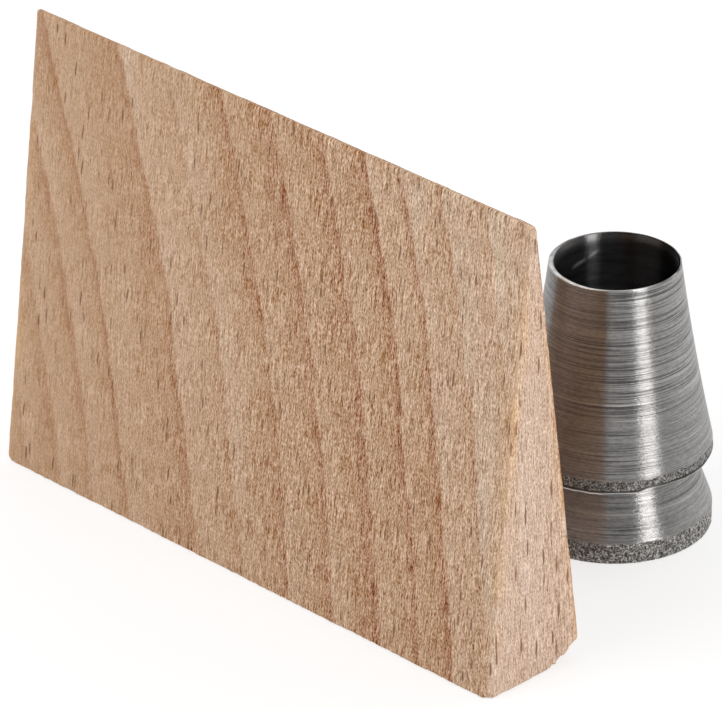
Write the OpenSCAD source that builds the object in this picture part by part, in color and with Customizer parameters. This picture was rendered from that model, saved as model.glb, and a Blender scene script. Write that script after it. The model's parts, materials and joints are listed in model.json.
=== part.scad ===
// Wedge set for hanging a striking tool's head on its handle: a sawn hardwood
// wedge for the handle's slot, and a hollow, tapered steel ring wedge that is
// driven into the end grain after it. The two loose pieces stand side by side.
//
// X runs along the wooden wedge, Y through its thickness and Z is up.
// The origin is the middle of the wooden wedge's base.

/* [Wooden wedge] */
// Length of the wedge, along the slot in the handle
wedge_length = 70; // [40:0.5:100]
// Height of the wedge, from the driven base to the thin edge
wedge_height = 49; // [30:0.5:80]
// Thickness of the driven base
wedge_base_thickness = 13; // [8:0.5:20]
// Thickness of the thin edge, which enters the slot first
wedge_edge_thickness = 0.6; // [0.4:0.1:3]

/* [Ring wedge body] */
// Diameter of the steel bar that the ring is turned from
bar_diameter = 20; // [19:0.5:30]
// Height of the ring, from its driven base to its cutting rim
ring_height = 29; // [20:0.5:45]
// Diameter of the bore, which takes the core of the handle
bore_diameter = 12.4; // [6:0.1:14]
// Width of the rim at the narrow end of the ring
rim_width = 0.45; // [0.2:0.05:1]
// How far the middle of the long taper lies inside a straight line
taper_hollow = 0.2; // [0.05:0.05:0.4]

/* [Barb] */
// Height of the unturned band at the base of the ring
base_band_height = 2.2; // [1:0.1:4]
// Height of the short taper between the base band and the barb
barb_taper_height = 6.1; // [3:0.1:9]
// Height of the unturned band above the barb
barb_band_height = 1.2; // [0.4:0.1:3]
// Wall left between the bore and the bottom of the groove under the barb
neck_wall = 1.6; // [0.6:0.1:2.3]

/* [Placing] */
// Clear distance from the wooden wedge's base to the ring's base
ring_gap = 12.3; // [2:0.1:40]
// Distance of the ring from the middle of the wedge, along the wedge
ring_shift = 17.8; // [-40:0.1:40]

/* [Hidden] */
$fn = 96;

// Number of straight pieces in the long taper's hollow curve
taper_steps = 8;
// Radii of the ring
bar_radius = bar_diameter / 2;
bore_radius = bore_diameter / 2;
rim_radius = bore_radius + rim_width;
neck_radius = bore_radius + neck_wall;
// Heights on the ring, from its base up
barb_underside_z = base_band_height + barb_taper_height;
taper_foot_z = barb_underside_z + barb_band_height;
// Distance of the ring's axis behind the middle of the wedge
ring_y = wedge_base_thickness / 2 + ring_gap + bar_radius;

// Point on the long taper, where t is 0 at its foot and 1 at the rim.
// The radius runs in a straight line, less a shallow parabola that is
// taper_hollow deep at the middle.
function taper_point(t) = [
    bar_radius + (rim_radius - bar_radius) * t - 4 * taper_hollow * t * (1 - t),
    taper_foot_z + (ring_height - taper_foot_z) * t
];

// Outline of half the ring's section, as [radius, height]
function ring_outline() = concat(
    [
        [bore_radius, 0],
        [bar_radius, 0],
        [bar_radius, base_band_height],
        [neck_radius, barb_underside_z],
        [bar_radius, barb_underside_z]
    ],
    [for (step = [0 : taper_steps]) taper_point(step / taper_steps)],
    [[bore_radius, ring_height]]
);

// End view of the wooden wedge, as [through its thickness, height]
function wedge_outline() = [
    [-wedge_base_thickness / 2, 0],
    [wedge_base_thickness / 2, 0],
    [wedge_edge_thickness / 2, wedge_height],
    [-wedge_edge_thickness / 2, wedge_height]
];

// Sawn beech wedge, standing on its driven base
module wooden_wedge() {
    color("burlywood")
        rotate([90, 0, 90])
            linear_extrude(height = wedge_length, center = true)
                polygon(wedge_outline());
}

// Turned steel ring, standing on its driven base behind the wedge
module ring_wedge() {
    color("slategray")
        translate([ring_shift, ring_y, 0])
            rotate_extrude()
                polygon(ring_outline());
}

wooden_wedge();
ring_wedge();
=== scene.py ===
"""Looks of a handle wedge set: a sawn beech wedge and a hollow turned-steel ring wedge.

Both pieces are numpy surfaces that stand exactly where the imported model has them.
Lengths inside the classes are in millimetres and become metres when a mesh is made.
"""

import json
import logging
import math
from collections.abc import Sequence
from dataclasses import dataclass
from enum import Enum

import bpy
import numpy as np
from mathutils import Matrix, Vector


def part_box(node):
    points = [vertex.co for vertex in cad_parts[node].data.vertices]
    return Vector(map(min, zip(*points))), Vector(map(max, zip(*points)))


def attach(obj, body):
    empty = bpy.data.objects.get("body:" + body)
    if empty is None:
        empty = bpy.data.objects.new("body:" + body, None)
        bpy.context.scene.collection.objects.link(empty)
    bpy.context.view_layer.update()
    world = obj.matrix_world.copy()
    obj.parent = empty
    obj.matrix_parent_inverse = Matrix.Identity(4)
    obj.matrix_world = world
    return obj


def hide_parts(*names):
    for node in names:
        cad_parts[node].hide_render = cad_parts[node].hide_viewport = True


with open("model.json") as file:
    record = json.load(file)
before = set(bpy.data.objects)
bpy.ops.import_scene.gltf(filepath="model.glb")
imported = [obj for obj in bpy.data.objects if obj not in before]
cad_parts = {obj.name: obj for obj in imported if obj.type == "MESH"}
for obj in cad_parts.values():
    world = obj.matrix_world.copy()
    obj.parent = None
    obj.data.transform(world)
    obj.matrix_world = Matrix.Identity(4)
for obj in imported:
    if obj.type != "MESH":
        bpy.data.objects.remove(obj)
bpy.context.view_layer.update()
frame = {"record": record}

LOG = logging.getLogger("wedge_set")
MM = 0.001
UV_NAME = "OFBake"
Array = np.ndarray
Socket = bpy.types.NodeSocket


class Mask(Enum):
    """Names of the per-point marks that tell a finish which surface it is on."""

    END_FACE = "end_face"
    EDGE_HIGHLIGHT = "worn_edge"
    BACK_FACE = "back_face"
    RAW_SKIN = "raw_skin"
    BORE = "bore"
    BURR_AND_HIGHLIGHT = "burr"
    CHATTER = "chatter"
    PAINTED_LIGHT_AND_STREAKS = "tool_line"


# ---------------------------------------------------------------- numbers


def linear(hex_colour: str, alpha: float = 1.0) -> tuple[float, float, float, float]:
    """Turns an sRGB hex colour to linear light.

    Args:
        hex_colour: Six hex digits after a hash, such as "#C0A086".
        alpha: The fourth value of the result.

    Returns:
        Linear red, green, blue and alpha. Each channel c becomes c / 12.92 below
        0.04045, and ((c + 0.055) / 1.055) to the power 2.4 above it.
    """
    channels = [int(hex_colour[i : i + 2], 16) / 255 for i in (1, 3, 5)]
    red, green, blue = (
        c / 12.92 if c <= 0.04045 else ((c + 0.055) / 1.055) ** 2.4 for c in channels
    )
    return red, green, blue, alpha


def smooth_step(value: Array, start: float, end: float) -> Array:
    """Rises from 0 at start to 1 at end along 3t^2 - 2t^3."""
    t = np.clip((value - start) / (end - start), 0.0, 1.0)
    return t * t * (3.0 - 2.0 * t)


def lattice_noise(points: Array, cell: Sequence[float], seed: int) -> Array:
    """Smooth random values at points in space, the same on every run.

    Each corner of a lattice of cells gets a value from -1 to 1, out of an integer
    hash of its place. A point takes the mean of its cell's eight corners, weighted
    along each axis by 3t^2 - 2t^3 of its place between them.

    Args:
        points: Places, as an array that ends in three coordinates.
        cell: Size of a lattice cell along each axis, in the points' unit.
        seed: Picks one pattern out of many.

    Returns:
        One value for each point.
    """
    place = points / np.asarray(cell, dtype=float) + 4096.0
    base = np.floor(place)
    t = place - base
    weight = t * t * (3.0 - 2.0 * t)
    whole = base.astype(np.int64)
    total = np.zeros(points.shape[:-1])
    for corner in np.ndindex(2, 2, 2):
        i, j, k = (whole[..., axis] + corner[axis] for axis in range(3))
        mixed = (i * 73856093) ^ (j * 19349663) ^ (k * 83492791) ^ (seed * 2654435761)
        mixed = (mixed & 0xFFFFFFFF) ^ ((mixed & 0xFFFFFFFF) >> 13)
        mixed = (mixed * 1274126177) & 0xFFFFFFFF
        value = ((mixed ^ (mixed >> 16)) & 0xFFFF) / 32767.5 - 1.0
        share = np.ones(points.shape[:-1])
        for axis in range(3):
            side = weight[..., axis]
            share = share * (side if corner[axis] else 1.0 - side)
        total += share * value
    return total


def around(theta: Array, radius: float, height: Array) -> Array:
    """Places on a cylinder round Z: (radius cos theta, radius sin theta, height)."""
    return np.stack([radius * np.cos(theta), radius * np.sin(theta), height], axis=-1)


def graded(length: float, edge: float, fine: int, coarse: int) -> Array:
    """Stations from 0 to length that lie closer within edge of both ends.

    Args:
        length: Whole length.
        edge: Length of the fine stretch at each end.
        fine: Steps in each fine stretch.
        coarse: Steps between the fine stretches.

    Returns:
        fine + coarse + fine steps, as one more station than that.
    """
    near = np.linspace(0.0, edge, fine + 1)
    middle = np.linspace(edge, length - edge, coarse + 1)
    return np.concatenate([near[:-1], middle, (length - near[::-1])[1:]])


# ------------------------------------------------------------- Blender glue


def add_node(
    tree: bpy.types.NodeTree,
    kind: str,
    settings: dict[str, object] | None = None,
    **sockets: object,
) -> bpy.types.Node:
    """Adds a node with its settings, values and links.

    Args:
        tree: Tree that the node goes into.
        kind: Blender's name for the node, such as "ShaderNodeTexNoise".
        settings: Attributes of the node itself.
        **sockets: Input sockets by name, with "_" for a space, or by number after
            an "i", such as i0. A socket as value is linked, anything else is set.

    Returns:
        The new node.
    """
    node = tree.nodes.new(kind)
    for name, value in (settings or {}).items():
        setattr(node, name, value)
    for name, value in sockets.items():
        numbered = name[0] == "i" and name[1:].isdigit()
        socket = node.inputs[int(name[1:]) if numbered else name.replace("_", " ")]
        if isinstance(value, Socket):
            tree.links.new(value, socket)
        else:
            socket.default_value = value
    return node


def new_material(name: str) -> tuple[bpy.types.Material, bpy.types.NodeTree]:
    """Makes an empty node material.

    Args:
        name: The material's name.

    Returns:
        The material, and its node tree with nothing in it.
    """
    material = bpy.data.materials.new(name)
    material.use_nodes = True
    material.node_tree.nodes.clear()
    return material, material.node_tree


def set_stops(node: bpy.types.Node, stops: Sequence[tuple[float, Sequence[float]]]) -> None:
    """Gives a Color Ramp its stops.

    Args:
        node: The Color Ramp.
        stops: Pairs of a place from 0 to 1 and a linear RGBA colour, in order.
    """
    elements = node.color_ramp.elements
    while len(elements) > 1:
        elements.remove(elements[-1])
    elements[0].position, elements[0].color = stops[0]
    for place, colour in stops[1:]:
        elements.new(place).color = colour


def read_mask(tree: bpy.types.NodeTree, mask: Mask) -> Socket:
    """Reads one of the piece's marks."""
    node = add_node(tree, "ShaderNodeAttribute", {"attribute_name": mask.value})
    return node.outputs["Fac"]


def calculate(tree: bpy.types.NodeTree, operation: str, *values: object) -> Socket:
    """Adds a Math node over sockets or numbers."""
    sockets = {f"i{i}": value for i, value in enumerate(values)}
    return add_node(tree, "ShaderNodeMath", {"operation": operation}, **sockets).outputs[0]


def map_range(
    tree: bpy.types.NodeTree, value: Socket, low: float, high: float, to_low: float, to_high: float
) -> Socket:
    """Carries low..high over to to_low..to_high, held at both ends."""
    node = add_node(
        tree, "ShaderNodeMapRange", Value=value, From_Min=low, From_Max=high,
        To_Min=to_low, To_Max=to_high,
    )
    return node.outputs[0]


def mix_colours(tree: bpy.types.NodeTree, share: Socket, first: object, second: object) -> Socket:
    """Mixes two colours: the first where share is 0, the second where it is 1."""
    node = add_node(tree, "ShaderNodeMix", {"data_type": "RGBA"}, i0=share, i6=first, i7=second)
    return node.outputs[2]


def mix_numbers(
    tree: bpy.types.NodeTree, share: Socket | float, first: object, second: object
) -> Socket:
    """Mixes two numbers: the first where share is 0, the second where it is 1."""
    node = add_node(tree, "ShaderNodeMix", {"data_type": "FLOAT"}, i0=share, i2=first, i3=second)
    return node.outputs[0]


def scale_colour(tree: bpy.types.NodeTree, colour: object, share: Socket) -> Socket:
    """Multiplies a colour, as a socket or three numbers, by a number."""
    node = add_node(
        tree, "ShaderNodeVectorMath", {"operation": "SCALE"}, Vector=colour, Scale=share
    )
    return node.outputs[0]


def noise(
    tree: bpy.types.NodeTree, spot: Socket, scale: Sequence[float], detail: float
) -> Socket:
    """Adds a noise whose cells measure 1 / scale millimetres along each axis.

    Args:
        tree: Tree that the nodes go into.
        spot: Place in millimetres.
        scale: Cells for each millimetre along each axis.
        detail: How many finer layers lie on top of the first.

    Returns:
        The noise, from 0 to 1, with 0.5 as its mean.
    """
    stretched = add_node(tree, "ShaderNodeMapping", Vector=spot, Scale=tuple(scale))
    node = add_node(
        tree, "ShaderNodeTexNoise", Vector=stretched.outputs[0], Scale=1.0, Detail=detail
    )
    return node.outputs["Fac"]


def make_piece(
    name: str,
    points: Array,
    quads: Array,
    uv: Array,
    masks: dict[Mask, Array],
) -> bpy.types.Object:
    """Makes a smooth-shaded mesh object at the origin.

    Args:
        name: Name of the object and of its mesh.
        points: Vertices in millimetres, one row each.
        quads: Four vertex numbers for each face, turning left seen from outside.
        uv: Place on the colour map of each face's four corners.
        masks: A number for each vertex, by the mark that holds it.

    Returns:
        The object, linked into the scene.
    """
    mesh = bpy.data.meshes.new(name)
    mesh.vertices.add(len(points))
    mesh.vertices.foreach_set("co", (points * MM).astype(np.float32).ravel())
    mesh.loops.add(quads.size)
    mesh.loops.foreach_set("vertex_index", quads.astype(np.int32).ravel())
    mesh.polygons.add(len(quads))
    mesh.polygons.foreach_set("loop_start", np.arange(0, quads.size, 4, dtype=np.int32))
    mesh.polygons.foreach_set("use_smooth", np.ones(len(quads), dtype=bool))
    layer = mesh.uv_layers.new(name=UV_NAME)
    layer.uv.foreach_set("vector", uv.astype(np.float32).ravel())
    for mask, values in masks.items():
        attribute = mesh.attributes.new(mask.value, "FLOAT", "POINT")
        attribute.data.foreach_set("value", values.astype(np.float32).ravel())
    mesh.update(calc_edges=True)
    piece = bpy.data.objects.new(name, mesh)
    bpy.context.scene.collection.objects.link(piece)
    return piece


# ------------------------------------------------------------------ finishes


@dataclass(frozen=True)
class GrowthRing:
    """One border between two growth rings, and the tones on both sides of it.

    Tones run from 0, the palest early wood, to 1, the reddest late wood. The
    first of a pair holds at the thin edge and the second at the base.
    """

    place: float
    before: tuple[float, float]
    after: tuple[float, float]


@dataclass(frozen=True)
class SawnBeech:
    """European beech, sawn across its growth rings and left bare.

    The rings show as broad soft bands that darken slowly and end in a sharp edge,
    the cut rays as short dark ticks along the grain, and the sawn fibres as a fine
    fuzz that spreads the light.
    """

    tones: tuple[tuple[float, str], ...] = (
        (0.0, "#D6BAA1"),
        (0.3, "#CCA98B"),
        (0.55, "#C49E7D"),
        (0.8, "#BA8F6D"),
        (1.0, "#AC7B59"),
    )
    end_tones: tuple[tuple[float, str], ...] = (
        (0.0, "#D4B9A5"),
        (0.5, "#CAAA92"),
        (1.0, "#BB9378"),
    )
    ray: str = "#7E5336"
    # How dark the rays are, on the broad faces and on the end faces.
    ray_depth: tuple[float, float] = (0.9, 0.88)
    # Painted highlight along the edges.
    edge_glow: str = "#DFB384"
    late_line: str = "#A36C4A"
    # Painted highlight and shade of the sawn fibres, per channel.
    fuzz_light: tuple[float, float, float] = (1.33, 1.2, 1.04)
    # Strength of the fuzz at the far end and at the near one, and its loss on end faces.
    fuzz_gain: tuple[float, float] = (0.64, 1.54)
    end_loss: float = 0.27
    # Painted shade: the back is darker and redder, and its colour is multiplied by this.
    back_shade: tuple[float, float, float] = (0.8, 0.66, 0.53)
    roughness: float = 0.78
    relief_mm: float = 0.07
    # Places are in mm along the thin edge, from the wedge's far end.
    rings: tuple[GrowthRing, ...] = (
        GrowthRing(-16.0, (0.60, 0.60), (0.30, 0.30)),
        GrowthRing(-10.5, (0.60, 0.75), (0.30, 0.30)),
        GrowthRing(-5.0, (0.85, 0.60), (0.30, 0.25)),
        GrowthRing(1.0, (0.75, 0.55), (0.35, 0.30)),
        GrowthRing(12.0, (0.72, 0.67), (0.12, 0.27)),
        GrowthRing(19.4, (0.50, 0.50), (0.20, 0.22)),
        GrowthRing(27.0, (0.78, 0.62), (0.42, 0.25)),
        GrowthRing(34.0, (0.84, 0.65), (0.45, 0.25)),
        GrowthRing(41.3, (0.70, 0.85), (0.28, 0.33)),
        GrowthRing(47.3, (0.85, 0.63), (0.20, 0.45)),
        GrowthRing(52.3, (0.45, 0.87), (0.12, 0.20)),
        GrowthRing(57.7, (0.35, 0.40), (0.03, 0.07)),
        GrowthRing(63.5, (0.30, 0.35), (0.00, 0.05)),
        GrowthRing(70.0, (0.30, 0.45), (0.10, 0.20)),
        GrowthRing(76.0, (0.45, 0.45), (0.15, 0.15)),
    )
    first_mm: float = -22.0
    last_mm: float = 84.0
    # A border is spread this far before and after its place, as shares of the span.
    border_reach: tuple[float, float] = (0.0015, 0.0025)
    # Thin lines end these rings: the first one's number, and that after the last one.
    lined: tuple[int, int] = (2, 12)
    # A line starts the first share of the span before the border. It is full the
    # second share before it, and gone as far behind it.
    line_reach: tuple[float, float] = (0.009, 0.0015)

    def ring_stops(self, level: int) -> list[tuple[float, tuple[float, float, float, float]]]:
        """Lists a ramp's stops, dark just before each border and pale just after it.

        Args:
            level: 0 for the thin edge's tones, 1 for the base's.

        Returns:
            Places from 0 to 1 over the span of the rings, with the tone as a grey.
        """
        before, after = self.border_reach
        stops = [(0.0, (0.4, 0.4, 0.4, 1.0))]
        for ring in self.rings:
            share = self._share(ring)
            stops.append((share - before, (ring.before[level],) * 3 + (1.0,)))
            stops.append((share + after, (ring.after[level],) * 3 + (1.0,)))
        return stops

    def _share(self, ring: GrowthRing) -> float:
        """Where a border lies over the span of the rings, from 0 to 1."""
        return (ring.place - self.first_mm) / (self.last_mm - self.first_mm)

    def line_stops(self) -> list[tuple[float, tuple[float, float, float, float]]]:
        """Lists the stops of the thin lines, 1 mm wide, that end the clearer rings.

        Returns:
            Places from 0 to 1 over the span of the rings, with the strength as a grey.
        """
        none = (0.0, 0.0, 0.0, 1.0)
        start, near = self.line_reach
        stops = [(0.0, none)]
        for ring in self.rings[slice(*self.lined)]:
            share = self._share(ring)
            stops += [
                (share - start, none),
                (share - near, (max(ring.before),) * 3 + (1.0,)),
                (share + near, none),
            ]
        return stops

    def material(self, wedge: "WoodenWedge") -> bpy.types.Material:
        """Builds the material.

        Args:
            wedge: The piece, whose sizes place the pattern.

        Returns:
            The material, in which all patterns read Object coordinates.
        """
        material, tree = new_material("sawn_beech")
        place = add_node(tree, "ShaderNodeTexCoord").outputs["Object"]
        # Millimetres, counted from the far end of the thin edge.
        spot = add_node(
            tree,
            "ShaderNodeMapping",
            Vector=place,
            Scale=(1 / MM, 1 / MM, 1 / MM),
            Location=(wedge.length / 2, 0.0, -wedge.height),
        ).outputs["Vector"]
        end_face = read_mask(tree, Mask.END_FACE)
        colour = self._wood_colour(tree, spot, wedge, end_face)
        fuzz = self._sawn_fuzz(tree, spot, wedge, end_face)
        streaks = noise(tree, spot, (1.3, 1.3, 0.05), detail=3.0)
        colour = scale_colour(tree, colour, map_range(tree, streaks, 0.3, 0.7, 0.97, 1.03))
        # Painted highlight and shade: raised fibres catch a whiter light than the wood's own
        # colour, and sunk ones a darker one.
        colour = add_node(
            tree, "ShaderNodeVectorMath", {"operation": "MULTIPLY_ADD"},
            i0=fuzz, i1=self.fuzz_light, i2=colour,
        ).outputs[0]
        rays = self._rays(tree, spot)
        ray_depth = map_range(tree, end_face, 0.0, 1.0, *self.ray_depth)
        ticks = calculate(tree, "MULTIPLY", rays, ray_depth)
        colour = mix_colours(tree, ticks, colour, linear(self.ray))
        # Relief: fuzz stands up a few hundredths of a millimetre, and rays lie below it.
        height = calculate(tree, "MULTIPLY_ADD", ticks, -0.5, fuzz)
        relief = add_node(
            tree, "ShaderNodeBump", Height=height, Distance=self.relief_mm * MM, Strength=1.0
        )
        shader = add_node(
            tree,
            "ShaderNodeBsdfPrincipled",
            Base_Color=colour,
            Roughness=self.roughness,
            IOR=1.5,
            Normal=relief.outputs["Normal"],
        )
        add_node(tree, "ShaderNodeOutputMaterial", Surface=shader.outputs["BSDF"])
        return material

    def _wood_colour(
        self, tree: bpy.types.NodeTree, spot: Socket, wedge: "WoodenWedge", end_face: Socket
    ) -> Socket:
        """Colours the growth rings, on the broad faces, the end faces and the back.

        Args:
            tree: Tree of the material.
            spot: Millimetres from the far end of the thin edge.
            wedge: The piece, whose sizes place the rings.
            end_face: The mark of the end faces.

        Returns:
            The colour, without the saw's fuzz and the rays.
        """
        tone, line = self._ring_tone(tree, spot, wedge)
        colour = self._ramp(tree, tone, self.tones)
        colour = mix_colours(tree, line, colour, linear(self.late_line))
        colour = mix_colours(tree, end_face, colour, self._ramp(tree, tone, self.end_tones))
        # Painted highlight along the edges, in patches.
        edge = read_mask(tree, Mask.EDGE_HIGHLIGHT)
        colour = mix_colours(tree, edge, colour, linear(self.edge_glow))
        # Painted shade: the back is darker and redder.
        back = add_node(
            tree, "ShaderNodeVectorMath", {"operation": "MULTIPLY"}, i0=colour, i1=self.back_shade
        ).outputs[0]
        return mix_colours(tree, read_mask(tree, Mask.BACK_FACE), colour, back)

    def _sawn_fuzz(
        self, tree: bpy.types.NodeTree, spot: Socket, wedge: "WoodenWedge", end_face: Socket
    ) -> Socket:
        """Adds the fuzz that the saw left, with its strength over the piece.

        Args:
            tree: Tree of the material.
            spot: Millimetres from the far end of the thin edge.
            wedge: The piece, whose length places the rougher part.
            end_face: The mark of the end faces.

        Returns:
            The fuzz, as light added or taken away around 0.
        """
        # The saw left the nearer part rougher: its fuzz is over twice the far end's.
        along = add_node(tree, "ShaderNodeSeparateXYZ", Vector=spot).outputs[0]
        smooth_to, rough_from = 0.1 * wedge.length, 0.6 * wedge.length
        gain = map_range(tree, along, smooth_to, rough_from, *self.fuzz_gain)
        gain = calculate(tree, "MULTIPLY_ADD", end_face, -self.end_loss, gain)
        # The broad faces follow their fibres, so there the fuzz hardly changes through
        # the wood, and its strokes stay whole down the slope. End faces cut across them.
        broad, narrow = (self._fibres(tree, spot, through) for through in (1.3, 8.5))
        fuzz = calculate(tree, "SUBTRACT", mix_numbers(tree, end_face, broad, narrow), 0.5)
        return calculate(tree, "MULTIPLY", fuzz, gain)

    def _ramp(
        self, tree: bpy.types.NodeTree, tone: Socket, tones: Sequence[tuple[float, str]]
    ) -> Socket:
        """Turns a tone into a colour along a list of stops.

        Args:
            tree: Tree of the material.
            tone: The tone, from 0 to 1.
            tones: Pairs of a tone and its hex colour, in order.

        Returns:
            The colour.
        """
        node = add_node(tree, "ShaderNodeValToRGB", Fac=tone)
        set_stops(node, [(place, linear(colour)) for place, colour in tones])
        return node.outputs["Color"]

    def _ring_tone(
        self, tree: bpy.types.NodeTree, spot: Socket, wedge: "WoodenWedge"
    ) -> tuple[Socket, Socket]:
        """Adds the growth rings: two ramps over the distance across curved sheets.

        With z counted down from the thin edge as a negative number, the distance
        is x (1 - 0.0022 z) + 1.1 y + 0.261 z + 1.2 sin(pi z / height), bent a
        little by noise, all in millimetres.

        Args:
            tree: Tree of the material.
            spot: Millimetres from the far end of the thin edge.
            wedge: The piece, whose height places the bulge.

        Returns:
            The tone, from 0 to about 1, and the share of the thin red late-wood
            line that ends a ring, which is broken along its length.
        """
        parts = add_node(tree, "ShaderNodeSeparateXYZ", Vector=spot)
        along, through, down = (parts.outputs[i] for i in range(3))
        lean = calculate(tree, "MULTIPLY_ADD", down, -0.0022, 1.0)
        distance = calculate(tree, "MULTIPLY", along, lean)
        distance = calculate(tree, "MULTIPLY_ADD", through, 1.1, distance)
        distance = calculate(tree, "MULTIPLY_ADD", down, 0.261, distance)
        wave = calculate(tree, "SINE", calculate(tree, "MULTIPLY", down, math.pi / wedge.height))
        distance = calculate(tree, "MULTIPLY_ADD", wave, 1.2, distance)
        slow = noise(tree, spot, (0.07, 0.07, 0.05), detail=1.0)
        distance = calculate(tree, "MULTIPLY_ADD", slow, 2.0, distance)
        ripple = noise(tree, spot, (0.9, 0.9, 0.1), detail=3.0)
        distance = calculate(tree, "MULTIPLY_ADD", ripple, 1.0, distance)
        # The two noises add 1.5 mm on the mean, and the range takes 1.2 mm of it off.
        offset = 1.2
        share = map_range(
            tree, distance, self.first_mm + offset, self.last_mm + offset, 0.0, 1.0
        )
        levels = []
        for level in (0, 1):
            ramp = add_node(tree, "ShaderNodeValToRGB", Fac=share)
            set_stops(ramp, self.ring_stops(level))
            levels.append(ramp.outputs["Color"])
        line = add_node(tree, "ShaderNodeValToRGB", Fac=share)
        set_stops(line, self.line_stops())
        depth = map_range(tree, down, 0.0, -wedge.height, 0.0, 1.0)
        tone = mix_colours(tree, depth, levels[0], levels[1])
        patches = noise(tree, spot, (0.35, 0.35, 0.04), detail=2.0)
        patches = map_range(tree, patches, 0.25, 0.75, -0.1, 0.1)
        tone = calculate(tree, "ADD", tone, patches)
        broken = noise(tree, spot, (0.12, 0.12, 0.09), detail=2.0)
        broken = map_range(tree, broken, 0.38, 0.6, 0.25, 0.72)
        return tone, calculate(tree, "MULTIPLY", line.outputs["Color"], broken)

    def _fibres(self, tree: bpy.types.NodeTree, spot: Socket, through: float) -> Socket:
        """Adds sawn fibres: long strokes and short specks, 0.1 to 0.2 mm across.

        Args:
            tree: Tree of the material.
            spot: Millimetres from the far end of the thin edge.
            through: How many cells the pattern has for each mm through the wood.

        Returns:
            A height from 0 to 1, with 0.5 as its mean.
        """
        across = 8.5
        strokes = noise(tree, spot, (across, through, 0.6), detail=1.0)
        specks = noise(tree, spot, (across, through, 3.2), detail=1.0)
        return mix_numbers(tree, 0.56, strokes, specks)

    def _rays(self, tree: bpy.types.NodeTree, spot: Socket) -> Socket:
        """Adds the cut rays: one small upright lens in each cell of a stretched Voronoi.

        A lens reaches a quarter of a cell from its middle, which is 0.15 mm along,
        0.17 mm through and 1.35 mm up.

        Args:
            tree: Tree of the material.
            spot: Millimetres from the far end of the thin edge.

        Returns:
            The share of a ray's own colour, from 0 to 1.
        """
        size = 0.25
        half = (0.15, 0.17, 1.35)
        wobble = noise(tree, spot, (0.5, 0.5, 0.5), detail=1.0)
        bend = add_node(
            tree, "ShaderNodeVectorMath", {"operation": "MULTIPLY_ADD"},
            i0=wobble, i1=(0.35, 0.35, 0.0), i2=spot,
        )
        cells = add_node(
            tree, "ShaderNodeMapping", Vector=bend.outputs[0],
            Scale=tuple(size / h for h in half),
        )
        lens = add_node(
            tree, "ShaderNodeTexVoronoi", Vector=cells.outputs[0], Scale=1.0, Randomness=1.0
        )
        inside = add_node(
            tree, "ShaderNodeMapRange", {"interpolation_type": "SMOOTHSTEP"},
            Value=lens.outputs["Distance"], From_Min=size * 0.5, From_Max=size,
            To_Min=1.0, To_Max=0.0,
        )
        # Only some cells hold a dark ray, and each has its own depth of colour.
        odds = add_node(tree, "ShaderNodeSeparateColor", Color=lens.outputs["Color"])
        depth = map_range(tree, odds.outputs[0], 0.1, 0.75, 0.0, 1.0)
        return calculate(tree, "MULTIPLY", inside.outputs[0], depth)


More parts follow.
